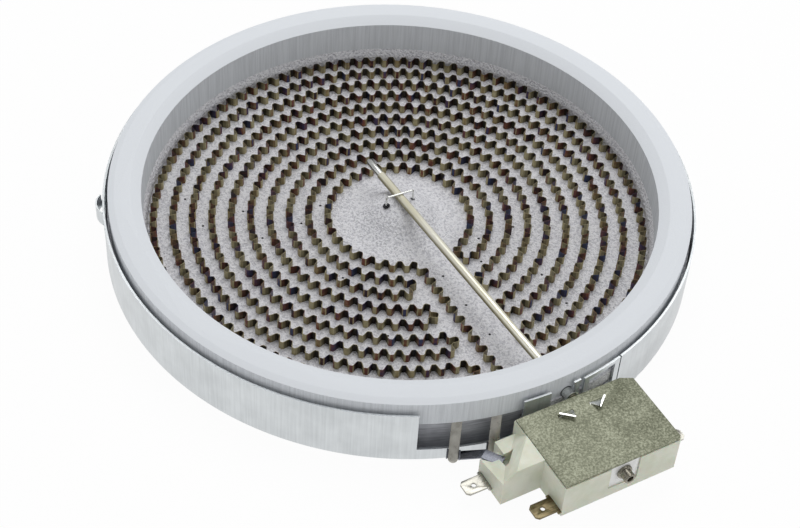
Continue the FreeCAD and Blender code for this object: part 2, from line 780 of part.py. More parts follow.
def tab_blade(width, length):
    """Flat blade along -X from the origin: chamfered end and a hole."""
    c = tab_chamfer
    w = width / 2
    outline = [(0, -w), (-length + c, -w), (-length, -w + c), (-length, w - c), (-length + c, w), (0, w)]
    blade = polygon_prism(outline, (0, tab_thickness))
    hole = Part.makeCylinder(tab_hole_radius, tab_thickness + 2, Vector(-length + tab_hole_from_end, 0, -1))
    return blade.cut(hole)


def make_left_tab():
    """Tab on the arm, with a riser to the strap in the pocket."""
    z = cavity_floor
    blade = tab_blade(tab_width, tab_length)
    blade.translate(Vector(arm_x, tab_left_y, z))
    shoulder = block((arm_x - tab_shoulder_length, arm_x), span(tab_left_y, tab_shoulder_width), (z, z + tab_thickness))
    inner = block((arm_x, pocket_x[0] + tab_thickness), span(tab_left_y, tab_width), (z, z + tab_thickness))
    riser = block((pocket_x[0], pocket_x[0] + tab_thickness), span(tab_left_y, tab_riser_width),
                  (z, left_strap_height - strap_thickness / 2))
    return fused([blade, shoulder, inner, riser])


def make_front_tab():
    """Tab at the front left, with a foot on the cavity floor and a contact upright."""
    z = cavity_floor
    t = tab_thickness
    blade = tab_blade(tab_width, tab_length)
    blade.translate(Vector(body_x[0], tab_front_y, z))
    shoulder = block((body_x[0] - tab_shoulder_length, body_x[0]), span(tab_front_y, tab_shoulder_width), (z, z + t))
    root = block((body_x[0], body_x[0] + body_wall), span(tab_front_y, tab_width), (z, z + t))
    front = body_y[0] + body_wall
    foot_y = (front, tab_front_y + tab_width / 2)
    foot = block((body_x[0] + body_wall - 0.1, contact_x + 2), foot_y, (z, z + t))
    face = blade_y - blade_thickness - 2 * contact_height
    arm = block((contact_x - 2, contact_x + 2), (foot_y[1] - 0.1, face), (z, z + t))
    upright = block((contact_x - 2, contact_x + 2), (face - t, face), (z, blade_z[1]))
    return fused([blade, shoulder, root, foot, arm, upright])


def make_signal_tab():
    """Smaller tab on the right side, carrying the signal contact."""
    z = tab_signal_height
    blade = tab_blade(tab_signal_width, tab_signal_length)
    blade.rotate(Vector(0, 0, 0), Vector(0, 0, 1), 180)
    blade.translate(Vector(body_x[1], tab_signal_y, z))
    inner = block((body_x[1] - body_wall - 3, body_x[1]), span(tab_signal_y, tab_signal_width), (z, z + tab_thickness))
    return fused([blade, inner])


def make_front_plate():
    """Bright plate set in the front slot round the adjusting bush."""
    y = (body_y[0] + plate_recess, body_y[0] + plate_recess + plate_thickness)
    plate = block((plate_x[0] + 0.1, plate_x[1] - 0.1), y, (plate_z[0], plate_z[1]))
    x = (plate_x[0] + plate_x[1]) / 2
    return plate.cut(bar(bush_radius + 0.1, Vector(x, y[0] - 1, bush_height), Vector(x, y[1] + 1, bush_height)))


def make_bush():
    """Hollow adjusting bush with a collar, through the front plate and wall."""
    x = (plate_x[0] + plate_x[1]) / 2
    front = body_y[0] + plate_recess
    start, end = Vector(x, front - bush_reach, bush_height), Vector(x, front + bush_tail, bush_height)
    bush = bar(bush_radius, start, end)
    collar = bar(collar_radius, Vector(x, front - collar_thickness, bush_height), Vector(x, front, bush_height))
    bore = bar(bush_bore_radius, start - Vector(0, 1, 0), end + Vector(0, 1, 0))
    return fused([bush, collar]).cut(bore)


def make_blade():
    """Spring blade that the rod's pin pushes."""
    return block(blade_x, (blade_y - blade_thickness, blade_y), blade_z)


def make_post():
    """Post on the cavity floor that holds the blade and meets the right strap."""
    y = (blade_y - blade_thickness - post_depth, blade_y - blade_thickness)
    upright = block((blade_x[0], blade_x[0] + post_width), y, (cavity_floor, blade_z[1]))
    foot = block((blade_x[0], blade_x[0] + post_width), (y[0], right_strap_end[1]),
                 (cavity_floor, right_strap_height - strap_thickness / 2))
    return fused([upright, foot])


def make_signal_post():
    """Post with the signal blade, behind the adjusting bush."""
    tail = body_y[0] + plate_recess + bush_tail
    x = (plate_x[0] + plate_x[1]) / 2
    blade = block((x - 4, body_x[1] - body_wall - 2.2), (tail, tail + blade_thickness), (tab_signal_height + tab_thickness, blade_z[1]))
    return blade


def make_contacts():
    """Two contact rivets that meet between the blade and the front tab's upright."""
    z = (blade_z[0] + blade_z[1]) / 2
    y = blade_y - blade_thickness
    moving = bar(contact_radius, Vector(contact_x, y, z), Vector(contact_x, y - contact_height, z))
    fixed = bar(contact_radius, Vector(contact_x, y - contact_height, z), Vector(contact_x, y - 2 * contact_height, z))
    return Part.makeCompound([moving, fixed])


def make_pin():
    """Pin on the end of the inner rod that bears on the blade."""
    x = along_rod(blade_y).x
    return bar(pin_radius, Vector(x, blade_y + pin_length, rod_axis_height), Vector(x, blade_y, rod_axis_height))


nodes = {
    "tray": make_tray(),
    "insulation_base": make_base(),
    "insulating_ring": make_ring(),
    "heating_ribbon": make_ribbon(),
    "terminal_left": make_terminal(left_terminal_azimuth, left_terminal_inside),
    "terminal_right": make_terminal(right_terminal_azimuth, right_terminal_inside),
    "recess_shield": make_shield(),
    "link_strap_left": make_left_strap(),
    "link_strap_right": make_right_strap(),
    "rod_tube": make_rod_tube(),
    "rod_core": make_rod_core(),
    "rod_end_cap": make_rod_cap(),
    "rod_neck": make_neck(),
    "rod_staple": make_staple(),
    "limiter_body": make_body(),
    "cover_plate": make_cover(),
    "mounting_bracket": make_bracket(),
    "tab_left": make_left_tab(),
    "tab_front": make_front_tab(),
    "tab_signal": make_signal_tab(),
    "front_plate": make_front_plate(),
    "adjusting_bush": make_bush(),
    "load_spring": make_blade(),
    "load_post": make_post(),
    "signal_spring": make_signal_post(),
    "contact_rivets": make_contacts(),
    "push_pin": make_pin(),
}

os.makedirs("parts", exist_ok=True)
for name, shape in nodes.items():
    shape.exportStep("parts/" + name + ".step")
    print(name, "valid", shape.isValid(), "solids", len(shape.Solids), "volume", round(shape.Volume, 1))
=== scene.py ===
"""Dresses a radiant surface element: tray, dish, corrugated heater, ring, sensor rod and limiter."""

import logging
import math
from dataclasses import dataclass, field
from enum import Enum
from typing import Any, Iterable, Sequence

import bmesh
import bpy
from mathutils import Matrix, Vector
from mathutils.bvhtree import BVHTree

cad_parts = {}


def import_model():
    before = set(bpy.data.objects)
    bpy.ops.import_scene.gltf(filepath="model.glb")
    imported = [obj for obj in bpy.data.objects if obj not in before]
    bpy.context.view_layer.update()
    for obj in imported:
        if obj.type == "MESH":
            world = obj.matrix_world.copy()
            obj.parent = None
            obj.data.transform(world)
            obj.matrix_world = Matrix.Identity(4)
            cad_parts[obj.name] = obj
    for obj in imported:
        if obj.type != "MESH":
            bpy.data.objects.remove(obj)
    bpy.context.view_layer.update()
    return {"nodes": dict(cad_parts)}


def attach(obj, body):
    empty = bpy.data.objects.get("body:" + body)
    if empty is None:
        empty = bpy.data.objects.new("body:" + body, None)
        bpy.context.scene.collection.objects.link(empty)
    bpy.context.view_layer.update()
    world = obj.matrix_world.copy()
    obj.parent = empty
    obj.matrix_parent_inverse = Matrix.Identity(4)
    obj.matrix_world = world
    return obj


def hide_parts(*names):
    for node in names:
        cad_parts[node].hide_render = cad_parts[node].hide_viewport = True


MM = 0.001
MATH = "ShaderNodeMath"
VECTOR_MATH = "ShaderNodeVectorMath"
LOG = logging.getLogger("radiant element")
Point = tuple[float, float]


def linear(code: str) -> tuple[float, float, float, float]:
    """Linear colour of an sRGB hex code.

    Args:
        code: six hex digits, such as "DDE0E5".

    Returns:
        Red, green, blue and alpha, linear.
    """
    parts = [int(code[i:i + 2], 16) / 255 for i in (0, 2, 4)]
    return tuple(c / 12.92 if c <= 0.04045 else ((c + 0.055) / 1.055) ** 2.4 for c in parts) + (1.0,)


def add_node(tree: bpy.types.NodeTree, kind: str, settings: dict[str, Any] | None = None,
             inputs: dict[Any, Any] | None = None, stops: Sequence[tuple[float, str]] = ()) -> Any:
    """Adds one node with its settings, its values and its links.

    Args:
        tree: the tree that gets the node.
        kind: Blender's name of the node type.
        settings: properties of the node.
        inputs: value or output socket for each input, by name or place.
        stops: positions and hex colours of a colour ramp.

    Returns:
        The new node.
    """
    node = tree.nodes.new(kind)
    for key, value in (settings or {}).items():
        setattr(node, key, value)
    for key, value in (inputs or {}).items():
        if isinstance(value, bpy.types.NodeSocket):
            tree.links.new(value, node.inputs[key])
        else:
            node.inputs[key].default_value = value
    if stops:
        ramp = node.color_ramp
        while len(ramp.elements) < len(stops):
            ramp.elements.new(0.5)
        for element, (place, code) in zip(ramp.elements, stops):
            element.position = place
            element.color = linear(code)
    return node


class Grain(Enum):
    """Direction in which a surface was worked."""

    EVEN = (1.0, 1.0, 1.0)
    UPRIGHT = (1.0, 1.0, 0.03)
    LEVEL = (0.03, 0.03, 1.0)
    ALONG_X = (0.03, 1.0, 1.0)
    ALONG_Y = (1.0, 0.03, 1.0)


@dataclass(frozen=True)
class Finish:
    """Surface finish that is built once and shared by the pieces that have it."""

    name: str

    def material(self) -> bpy.types.Material:
        """Material of this finish, built on its first use."""
        found = bpy.data.materials.get(self.name)
        if found:
            return found
        material = bpy.data.materials.new(self.name)
        material.use_nodes = True
        tree = material.node_tree
        shader = tree.nodes["Principled BSDF"]
        place = add_node(tree, "ShaderNodeTexCoord").outputs["Object"]
        self.shade(tree, shader, place)
        return material

    def shade(self, tree: bpy.types.NodeTree, shader: Any, place: Any) -> None:
        """Links the finish to the shader; each finish has its own."""
        raise NotImplementedError

    def scaled(self, tree: bpy.types.NodeTree, place: Any, size: float, grain: Grain = Grain.EVEN) -> Any:
        """Coordinates in which one unit is a real size.

        Args:
            tree: the material's tree.
            place: Object coordinates, in metres.
            size: real size of one unit, in millimetres.
            grain: direction in which the pattern is drawn out.

        Returns:
            The scaled coordinates.
        """
        scale = [axis / (size * MM) for axis in grain.value]
        return add_node(tree, "ShaderNodeMapping", inputs={"Vector": place, "Scale": scale}).outputs["Vector"]

    def noise(self, tree: bpy.types.NodeTree, vector: Any, detail: float = 3.0, rough: float = 0.55) -> Any:
        """Noise with features about one unit wide."""
        inputs = {"Vector": vector, "Scale": 1.0, "Detail": detail, "Roughness": rough}
        return add_node(tree, "ShaderNodeTexNoise", inputs=inputs).outputs[0]

    def bumped(self, tree: bpy.types.NodeTree, shader: Any, height: Any, depth: float) -> None:
        """Raises the surface by a height map.

        Args:
            tree: the material's tree.
            shader: the shader that gets the bumped normal.
            height: output socket with the height.
            depth: height of one unit, in millimetres.
        """
        inputs = {"Height": height, "Distance": depth * MM, "Strength": 1.0}
        bump = add_node(tree, "ShaderNodeBump", inputs=inputs)
        tree.links.new(bump.outputs["Normal"], shader.inputs["Normal"])

    def by_lift(self, tree: bpy.types.NodeTree, side: Any, top: Any, span: Point = (0.2, 0.6)) -> Any:
        """Blends two colours by how far the surface faces up.

        Args:
            tree: the material's tree.
            side: colour or socket of the sides.
            top: colour or socket of what faces up.
            span: upward parts of the normal at which the blend starts and ends.

        Returns:
            The blended colour's socket.
        """
        normal = add_node(tree, "ShaderNodeNewGeometry").outputs["Normal"]
        lift = add_node(tree, "ShaderNodeSeparateXYZ", inputs={0: normal}).outputs["Z"]
        share = add_node(tree, "ShaderNodeMapRange", inputs={0: lift, 1: span[0], 2: span[1]}).outputs[0]
        return add_node(tree, "ShaderNodeMix", {"data_type": "RGBA"}, {0: share, 6: side, 7: top}).outputs[2]

    def ranged(self, tree: bpy.types.NodeTree, value: Any, low: float, high: float) -> Any:
        """A value from 0.3 to 0.7 spread over a new range."""
        inputs = {0: value, 1: 0.3, 2: 0.7, 3: low, 4: high}
        return add_node(tree, "ShaderNodeMapRange", inputs=inputs).outputs[0]


@dataclass(frozen=True)
class WorkedMetal(Finish):
    """Rolled, drawn or brushed metal: fine streaks in one direction that stretch its highlights."""

    dark: str
    light: str
    roughness: tuple[float, float] = (0.25, 0.45)
    streak: float = 0.8
    grain: Grain = Grain.EVEN
    depth: float = 0.02
    metallic: float = 1.0
    patch: float = 9.0
    flank_shade: str = ""
    streak_share: float = 0.6

    def shade(self, tree: bpy.types.NodeTree, shader: Any, place: Any) -> None:
        """Streaks change colour, roughness and height; wide patches change the tone; a flank colour, where
        given, is painted shade on the sides.
        """
        streaks = self.noise(tree, self.scaled(tree, place, self.streak, self.grain), 4.0)
        patches = self.noise(tree, self.scaled(tree, place, self.patch), 2.0)
        most = add_node(tree, MATH, {"operation": "MULTIPLY"}, {0: streaks, 1: self.streak_share})
        mixed = add_node(tree, MATH, {"operation": "MULTIPLY_ADD"},
                         {0: patches, 1: 1.0 - self.streak_share, 2: most.outputs[0]})
        ramp = add_node(tree, "ShaderNodeValToRGB", inputs={0: mixed.outputs[0]},
                        stops=((0.35, self.dark), (0.65, self.light)))
        colour = ramp.outputs["Color"]
        # painted shade: faces turned away from up blend to the flank colour
        if self.flank_shade:
            colour = self.by_lift(tree, linear(self.flank_shade), colour, (0.1, 0.7))
        tree.links.new(colour, shader.inputs["Base Color"])
        tree.links.new(self.ranged(tree, streaks, *self.roughness), shader.inputs["Roughness"])
        shader.inputs["Metallic"].default_value = self.metallic
        self.bumped(tree, shader, streaks, self.depth)


@dataclass(frozen=True)
class MilledMineral(Finish):
    """Pressed mineral fibre cut on a lathe: chalky white, with fine upright tool marks on its walls."""

    pale: str = "E4E8ED"
    furrow: str = "D5D9DE"
    mark: float = 0.9

    def shade(self, tree: bpy.types.NodeTree, shader: Any, place: Any) -> None:
        """Upright marks on the walls, powdery grain everywhere."""
        marks = self.noise(tree, self.scaled(tree, place, self.mark, Grain.UPRIGHT), 5.0, 0.65)
        powder = self.noise(tree, self.scaled(tree, place, 0.7), 4.0)
        ramp = add_node(tree, "ShaderNodeValToRGB", inputs={0: marks},
                        stops=((0.36, self.furrow), (0.6, self.pale)))
        colour = self.by_lift(tree, ramp.outputs["Color"], linear(self.pale))
        tree.links.new(colour, shader.inputs["Base Color"])
        height = add_node(tree, MATH, {"operation": "MULTIPLY_ADD"}, {0: marks, 1: 0.7, 2: powder})
        self.bumped(tree, shader, height.outputs[0], 0.06)
        shader.inputs["Roughness"].default_value = 0.85
        shader.inputs["Specular IOR Level"].default_value = 0.25


@dataclass(frozen=True)
class StippledBoard(Finish):
    """Pressed microporous board: pale grey powder whose face keeps the press tool's close stipple."""

    pale: str = "ECECF0"
    pit_shade: str = "CECED4"
    pitch: float = 1.0
    depth: float = 0.9

    def shade(self, tree: bpy.types.NodeTree, shader: Any, place: Any) -> None:
        """Close lumps with grit on them, and painted shade a little darker between them."""
        lumps = self.noise(tree, self.scaled(tree, place, self.pitch), 1.5, 0.4)
        grit = self.noise(tree, self.scaled(tree, place, 0.5), 2.0, 0.6)
        height = add_node(tree, MATH, {"operation": "MULTIPLY_ADD"}, {0: grit, 1: 0.35, 2: lumps})
        # painted shade: the low parts of the height map get the darker colour
        ramp = add_node(tree, "ShaderNodeValToRGB", inputs={0: height.outputs[0]},
                        stops=((0.52, self.pit_shade), (0.72, self.pale)))
        tree.links.new(ramp.outputs["Color"], shader.inputs["Base Color"])
        self.bumped(tree, shader, height.outputs[0], self.depth)
        shader.inputs["Roughness"].default_value = 0.9
        shader.inputs["Specular IOR Level"].default_value = 0.2


@dataclass(frozen=True)
class TintedFoil(Finish):
    """Iron alloy foil after its first heating: straw to violet oxide on each fold, with painted shade in its
    pockets.
    """

    pocket_shade: str = "15110F"
    blotching: float = 0.3

    def shade(self, tree: bpy.types.NodeTree, shader: Any, place: Any) -> None:
        """The fold's own number picks the tint; the inside of a fold gets painted shade."""
        tint = add_node(tree, "ShaderNodeAttribute", {"attribute_name": "tint"}).outputs["Fac"]
        bulge = add_node(tree, "ShaderNodeAttribute", {"attribute_name": "bulge"}).outputs["Fac"]
        blotch = self.noise(tree, self.scaled(tree, place, 2.4), 2.0)
        spread = add_node(tree, MATH, {"operation": "MULTIPLY_ADD"},
                          {0: blotch, 1: self.blotching, 2: tint})
        moved = add_node(tree, MATH, {"operation": "SUBTRACT"},
                         {0: spread.outputs[0], 1: self.blotching / 2})
        stops = ((0.0, "2C2028"), (0.09, "6E3E2C"), (0.2, "94835A"), (0.38, "B2A985"), (0.56, "A79D76"),
                 (0.7, "8A8160"), (0.8, "7E4A34"), (0.9, "4C3854"), (0.97, "3A4464"))
        ramp = add_node(tree, "ShaderNodeValToRGB", inputs={0: moved.outputs[0]}, stops=stops)
        # painted shade: faces that lean into a fold blend to the near-black pocket colour
        unshaded = add_node(tree, "ShaderNodeMapRange", inputs={0: bulge, 1: -0.55, 2: 0.5, 3: 0.05, 4: 1.0})
        colour = add_node(tree, "ShaderNodeMix", {"data_type": "RGBA"},
                          {0: unshaded.outputs[0], 6: linear(self.pocket_shade), 7: ramp.outputs["Color"]})
        tree.links.new(colour.outputs[2], shader.inputs["Base Color"])
        tree.links.new(self.ranged(tree, blotch, 0.35, 0.5), shader.inputs["Roughness"])
        self.bumped(tree, shader, blotch, 0.03)
        shader.inputs["Metallic"].default_value = 0.6


@dataclass(frozen=True)
class PressedSteatite(Finish):
    """Steatite ceramic, pressed and fired unglazed: waxy pale cream-green with a soft sheen."""

    pale: str = "E6E8D8"
    deep: str = "D9DCC8"

    def shade(self, tree: bpy.types.NodeTree, shader: Any, place: Any) -> None:
        """Cloudy tone, faint pressing texture and light scattered under the skin."""
        cloud = self.noise(tree, self.scaled(tree, place, 7.0), 4.0)
        fine = self.noise(tree, self.scaled(tree, place, 0.5), 3.0)
        ramp = add_node(tree, "ShaderNodeValToRGB", inputs={0: cloud},
                        stops=((0.35, self.deep), (0.62, self.pale)))
        tree.links.new(ramp.outputs["Color"], shader.inputs["Base Color"])
        tree.links.new(self.ranged(tree, fine, 0.42, 0.58), shader.inputs["Roughness"])
        self.bumped(tree, shader, fine, 0.03)
        shader.inputs["Subsurface Weight"].default_value = 0.2
        shader.inputs["Subsurface Scale"].default_value = 0.002
        shader.inputs["IOR"].default_value = 1.55


@dataclass(frozen=True)
class GrainedSheet(Finish):
    """Insulating fibre sheet faced with a grainy olive-grey skin: speckled, with a low sheen."""

    deep: str = "62654F"
    mid: str = "868973"
    speck: str = "B2B59E"
    grit: float = 0.75

    def shade(self, tree: bpy.types.NodeTree, shader: Any, place: Any) -> None:
        """Speckle at two sizes over an even ground."""
        fine = self.noise(tree, self.scaled(tree, place, self.grit), 4.0, 0.7)
        wide = self.noise(tree, self.scaled(tree, place, 6.0), 2.0)
        mixed = add_node(tree, MATH, {"operation": "MULTIPLY_ADD"}, {0: wide, 1: 0.25, 2: fine})
        ramp = add_node(tree, "ShaderNodeValToRGB", inputs={0: mixed.outputs[0]},
                        stops=((0.48, self.deep), (0.62, self.mid), (0.76, self.speck)))
        tree.links.new(ramp.outputs["Color"], shader.inputs["Base Color"])
        tree.links.new(self.ranged(tree, fine, 0.4, 0.6), shader.inputs["Roughness"])
        self.bumped(tree, shader, fine, 0.06)
        shader.inputs["Metallic"].default_value = 0.25


# Milled fibre ring: matt, the whitest thing here, with upright furrows on its walls.
RING_FINISH = MilledMineral("milled mineral fibre")
# Pressed powder board: dull grey-white, rough to the eye like cast sand.
BOARD_FINISH = StippledBoard("stippled microporous board")
# Heated foil: khaki, rust and violet folds that glint, with painted shade making black pockets between them.
FOIL_FINISH = TintedFoil("heat-tinted alloy foil")
# Unglazed steatite: warm white with a waxy bloom and soft edges.
STEATITE = PressedSteatite("pressed steatite")
# Faced fibre sheet: olive grey and speckled, with a low sheen.
COVER_FINISH = GrainedSheet("grained olive sheet")
# Holes pressed into the board: nothing but shade inside.
HOLE_FINISH = StippledBoard("shade inside a hole", "38383C", "1A1A1E", 0.6, 0.1)
# Aluminised steel, deep drawn: bright grey with faint upright drawing lines.
TRAY_FINISH = WorkedMetal("drawn aluminised steel", "C4C8CA", "D8DCDE", (0.3, 0.42), 0.8,
                          Grain.UPRIGHT, 0.012)
# Stainless strip, brushed along its length: soft level streaks that read grey in the recess's shade.
SHIELD_FINISH = WorkedMetal("brushed stainless strip", "8E9098", "DCDEE4", (0.4, 0.6), 0.35,
                            Grain.LEVEL, 0.03, 0.1)
# Tube tinted by heat: cream on top, with painted shade in olive straw on its sides, and long pale highlights.
TUBE_FINISH = WorkedMetal("straw-tinted tube", "E6E1C6", "F8F6EA", (0.14, 0.26), 0.6,
                          Grain.ALONG_Y, 0.01, 0.35, 14.0, "8C8460")
# Bright-turned steel: near mirror, with short turning marks.
TURNED_FINISH = WorkedMetal("bright turned steel", "C9CBC8", "ECEDEA", (0.14, 0.3), 0.4, Grain.EVEN, 0.01)
# Bright tin plate: almost white, partly its own bright tin and partly a painted reflection of the paper round
# it.
PLATE_FINISH = WorkedMetal("bright tin plate", "E4E5E4", "F6F6F5", (0.3, 0.45), 0.6,
                           Grain.EVEN, 0.01, 0.25)
# Oiled bush: dark bronze-grey with bright turned edges.
BUSH_FINISH = WorkedMetal("oiled bush", "5C584E", "A6A296", (0.2, 0.36), 0.5, Grain.EVEN, 0.01)
# Cold-rolled nickel-plated strip with a warm cast where it was welded.
STRIP_FINISH = WorkedMetal("plated strip", "A6A49C", "CCCAC2", (0.24, 0.36), 2.5, Grain.EVEN, 0.01)
# Annealed steel strap: dull, bluish grey.
STRAP_FINISH = WorkedMetal("annealed strap", "5E6068", "94969E", (0.35, 0.55), 0.6, Grain.EVEN, 0.02)
# Plated blade: steel grey going to brass near its root.
BLADE_FINISH = WorkedMetal("plated blade", "8A8880", "BEBCB4", (0.22, 0.38), 0.5, Grain.ALONG_X, 0.015)
# Blade by the body's warm side: the plating has gone bronze.
WARM_BLADE_FINISH = WorkedMetal("warm plated blade", "5C5038", "8E8468", (0.25, 0.42), 0.5,
                                Grain.ALONG_X, 0.015)
# Copper-alloy spring strip: yellow, rolled.
SPRING_FINISH = WorkedMetal("rolled spring brass", "B08A48", "D8B878", (0.25, 0.4), 0.5, Grain.ALONG_X, 0.01)
# Silver contact face: white metal with a soft bloom.
CONTACT_FINISH = WorkedMetal("silver contact", "D8D8D6", "F0F0EE", (0.2, 0.35), 0.4, Grain.EVEN, 0.01)


def put(name: str, mesh: bpy.types.Mesh, finish: Finish,
        replaced: Iterable[str] = ()) -> bpy.types.Object:
    """Puts a finished mesh on the object.

    Args:
        name: the piece's name.
        mesh: its mesh, in metres, in the object's frame.
        finish: its finish.
        replaced: the CAD nodes that it stands for.

    Returns:
        The new piece.
    """
    mesh.materials.clear()
    mesh.materials.append(finish.material())
    piece = bpy.data.objects.new(name, mesh)
    bpy.context.scene.collection.objects.link(piece)
    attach(piece, "root")
    if replaced:
        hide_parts(*replaced)
    LOG.info("%s: %d faces", name, len(mesh.polygons))
    return piece


def baked(source: bpy.types.Object, name: str) -> bpy.types.Mesh:
    """Plain mesh of an object with its modifiers applied; the object is removed."""
    bpy.context.view_layer.update()
    graph = bpy.context.evaluated_depsgraph_get()
    mesh = bpy.data.meshes.new_from_object(source.evaluated_get(graph), depsgraph=graph)
    mesh.name = name
    source.modifiers.clear()
    bpy.data.objects.remove(source)
    return mesh


def smooth_below(mesh: bpy.types.Mesh, degrees: float) -> None:
    """Shades a mesh smooth, with sharp edges where faces meet at more than an angle."""
    mesh.shade_smooth()
    mesh.set_sharp_from_angle(angle=math.radians(degrees))


@dataclass
class Dressed:
    """CAD node whose triangles are merged, softened at the edges and given a finish."""

    node: str
    finish: Finish
    edge: float = 0.0
    sharp: float = 32.0
    segments: int = 2
    weld: float = 0.002
    flat: float = 1.0

    def build(self, nodes: dict[str, bpy.types.Object]) -> bpy.types.Object:
        """Builds the dressed copy.

        Args:
            nodes: the frame's CAD nodes by name.

        Returns:
            The piece that stands for the node.
        """
        mesh = nodes[self.node].data.copy()
        form = bmesh.new()
        form.from_mesh(mesh)
        bmesh.ops.remove_doubles(form, verts=form.verts, dist=self.weld * MM)
        bmesh.ops.dissolve_limit(form, angle_limit=math.radians(self.flat), verts=form.verts,
                                 edges=form.edges)
        self.reshape(form)
        form.to_mesh(mesh)
        form.free()
        mesh.name = self.node
        if self.edge > 0:
            source = bpy.data.objects.new(self.node + "_edges", mesh)
            bpy.context.scene.collection.objects.link(source)
            bevel = source.modifiers.new("edges", "BEVEL")
            bevel.width = self.edge * MM
            bevel.segments = self.segments
            bevel.limit_method = "ANGLE"
            bevel.angle_limit = math.radians(self.sharp)
            bevel.use_clamp_overlap = True
            mesh = baked(source, self.node)
        smooth_below(mesh, self.sharp)
        return put(self.node + "_finished", mesh, self.finish, [self.node])

    def reshape(self, form: bmesh.types.BMesh) -> None:
        """Leaves the form as its solid has it."""


@dataclass
class TonguedTray(Dressed):
    """Tray whose two bent-out tongues, and the windows they leave, are drawn in to their seen size."""

    tongues: tuple[Point, ...] = ((162.0, 157.5), (42.0, 37.5))
    reach: float = 6.6
    margin: float = 0.3
    wall: float = 115.0
    sheet: float = 0.8
    heights: Point = (9.5, 19.5)
    low: float = 16.6
    share: float = 0.51
    tall: float = 0.64
    bow: float = 0.69

    def reshape(self, form: bmesh.types.BMesh) -> None:
        """Moves the corners of each tongue and window round the wall, up and in."""
        for vertex in form.verts:
            x, y, z = (axis / MM for axis in vertex.co)
            radius, azimuth = math.hypot(x, y), math.degrees(math.atan2(y, x))
            on_wall = radius > self.wall - self.sheet - self.margin
            if not on_wall or not self.heights[0] - self.margin < z < self.heights[1] + self.margin:
                continue
            for found, wanted in self.tongues:
                if abs(azimuth - found) < self.reach:
                    at = math.radians(wanted + (azimuth - found) * self.share)
                    radius = min(radius, self.wall) + max(0.0, radius - self.wall) * self.bow
                    height = self.low + (z - self.heights[0]) * self.tall
                    vertex.co = Vector((radius * math.cos(at), radius * math.sin(at), height)) * MM


